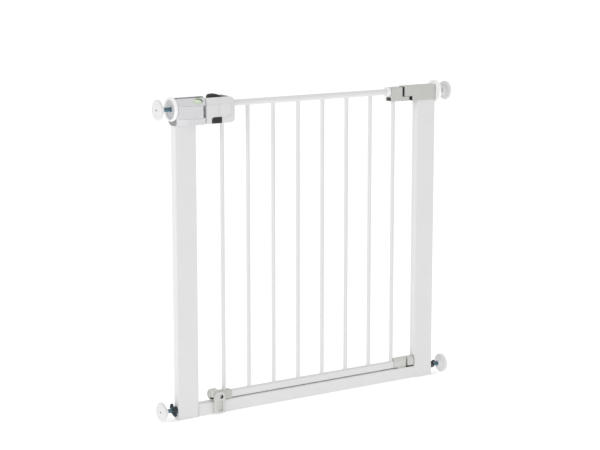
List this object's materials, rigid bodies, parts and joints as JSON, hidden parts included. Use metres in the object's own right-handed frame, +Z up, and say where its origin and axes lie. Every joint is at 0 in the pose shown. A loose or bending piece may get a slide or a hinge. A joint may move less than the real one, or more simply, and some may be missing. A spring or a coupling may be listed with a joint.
{
  "type": "stair gate with latch",
  "caption": "Pressure-fit stair gate: steel frame, barred leaf on two pins, two-action latch handle, and threaded corner pads that clamp it between walls.",
  "frame": {"origin": "on the floor, under the middle of the gate", "axes": "+X along the gate towards the hinge side, +Y away from the side it opens to, +Z up"},
  "size_m": [0.78, 0.056, 0.7132],
  "materials": {
    "white_paint": "white powder coat, satin, on steel tube",
    "white_plastic": "white moulded plastic, satin",
    "silver_plastic": "silver-grey moulded plastic with a fine metallic fleck, satin",
    "light_silver_plastic": "light silver-grey moulded plastic, satin",
    "mid_grey_plastic": "mid grey moulded plastic, fine texture",
    "warm_grey_plastic": "warm light grey moulded plastic, fine texture",
    "charcoal_plastic": "charcoal moulded plastic, soft touch",
    "steel": "zinc-plated steel, blue-grey",
    "pad_white": "off-white rubber-faced wall pad, matte",
    "flag_green": "dark green plastic",
    "window_green": "pale green clear plastic, glossy"
  },
  "bodies": {
    "frame": {"left_upright": "white_paint", "right_upright": "white_paint", "floor_rail": "white_paint", "left_foot_plug": "charcoal_plastic", "right_foot_plug": "charcoal_plastic", "left_foot_guide": "warm_grey_plastic", "right_foot_guide": "warm_grey_plastic", "latch_housing_front": "silver_plastic", "latch_housing_rear": "mid_grey_plastic", "pressure_window": "window_green", "latch_keeper": "charcoal_plastic", "left_spindle_guide": "warm_grey_plastic", "housing_screw_lower": "steel", "housing_screw_upper": "steel", "hinge_housing": "warm_grey_plastic", "hinge_housing_cover": "warm_grey_plastic", "hinge_cover_screw": "steel", "upper_hinge_pin": "steel", "right_spindle_guide": "warm_grey_plastic", "lower_hinge_bracket": "warm_grey_plastic", "lower_hinge_pin": "steel"},
    "leaf": {"leaf_top_rail": "white_paint", "leaf_bottom_rail": "white_paint", "bar_1": "white_paint", "bar_2": "white_paint", "bar_3": "white_paint", "bar_4": "white_paint", "bar_5": "white_paint", "bar_6": "white_paint", "bar_7": "white_paint", "bar_8": "white_paint", "upper_hinge_arm": "warm_grey_plastic", "rail_collar": "white_plastic", "lower_hinge_arm": "warm_grey_plastic", "rail_sleeve": "warm_grey_plastic", "catch_barrel": "warm_grey_plastic", "stop_leg": "warm_grey_plastic", "stop_leg_screw": "steel", "handle_front": "light_silver_plastic", "handle_rear": "light_silver_plastic", "handle_screw_left": "steel", "handle_screw_right": "steel", "bolt_spring": "steel", "button_spring": "steel"},
    "latch": {"thumb_slider": "charcoal_plastic", "latch_bolt": "charcoal_plastic"},
    "squeeze": {"squeeze_button": "charcoal_plastic"},
    "flag": {"pressure_flag": "flag_green"},
    "left_hand_wheel": {"left_hand_wheel": "white_plastic"},
    "left_top_screw": {"left_top_spindle": "steel", "left_top_pad": "pad_white"},
    "left_wing_nut": {"left_wing_nut": "steel"},
    "left_foot_screw": {"left_foot_spindle": "steel", "left_foot_pad": "pad_white"},
    "right_hand_wheel": {"right_hand_wheel": "white_plastic"},
    "right_top_screw": {"right_top_spindle": "steel", "right_top_pad": "pad_white"},
    "right_wing_nut": {"right_wing_nut": "steel"},
    "right_foot_screw": {"right_foot_spindle": "steel", "right_foot_pad": "pad_white"}
  },
  "joints": [
    {"name": "leaf_swing", "type": "hinge", "parent": "frame", "child": "leaf", "pos_m": [0.267, 0, 0.03], "axis": [0, 0, 1], "range_deg": [0, 90]},
    {"name": "latch_slide", "type": "slide", "parent": "leaf", "child": "latch", "axis": [1, 0, 0], "range_m": [0, 0.006], "stiffness_N_per_m": 300, "springref_m": -0.006, "deforming": ["bolt_spring"]},
    {"name": "squeeze_press", "type": "slide", "parent": "leaf", "child": "squeeze", "axis": [0, 1, 0], "range_m": [0, 0.0035], "stiffness_N_per_m": 400, "springref_m": -0.002, "deforming": ["button_spring"]},
    {"name": "pressure_flag_slide", "type": "slide", "parent": "frame", "child": "flag", "axis": [-1, 0, 0], "range_m": [0, 0.006], "stiffness_N_per_m": 60, "springref_m": -0.001},
    {"name": "left_top_pad_travel", "type": "slide", "parent": "frame", "child": "left_top_screw", "axis": [-1, 0, 0], "range_m": [-0.006, 0.018]},
    {"name": "left_hand_wheel_turn", "type": "hinge", "parent": "frame", "child": "left_hand_wheel", "pos_m": [-0.35, 0, 0.685], "axis": [-1, 0, 0], "range_deg": [-2162, 722]},
    {"name": "left_foot_pad_travel", "type": "slide", "parent": "frame", "child": "left_foot_screw", "axis": [-1, 0, 0], "range_m": [-0.006, 0.018]},
    {"name": "left_wing_nut_turn", "type": "hinge", "parent": "frame", "child": "left_wing_nut", "pos_m": [-0.35, 0, 0.022], "axis": [-1, 0, 0], "range_deg": [-2162, 722]},
    {"name": "right_top_pad_travel", "type": "slide", "parent": "frame", "child": "right_top_screw", "axis": [1, 0, 0], "range_m": [-0.006, 0.018]},
    {"name": "right_hand_wheel_turn", "type": "hinge", "parent": "frame", "child": "right_hand_wheel", "pos_m": [0.35, 0, 0.685], "axis": [1, 0, 0], "range_deg": [-2162, 722]},
    {"name": "right_foot_pad_travel", "type": "slide", "parent": "frame", "child": "right_foot_screw", "axis": [1, 0, 0], "range_m": [-0.006, 0.018]},
    {"name": "right_wing_nut_turn", "type": "hinge", "parent": "frame", "child": "right_wing_nut", "pos_m": [0.35, 0, 0.022], "axis": [1, 0, 0], "range_deg": [-2162, 722]}
  ],
  "couplings": [
    {"joint": "left_hand_wheel_turn", "follows": "left_top_pad_travel", "rad_per_m": -2094.4},
    {"joint": "left_wing_nut_turn", "follows": "left_foot_pad_travel", "rad_per_m": -2094.4},
    {"joint": "right_hand_wheel_turn", "follows": "right_top_pad_travel", "rad_per_m": -2094.4},
    {"joint": "right_wing_nut_turn", "follows": "right_foot_pad_travel", "rad_per_m": -2094.4}
  ]
}
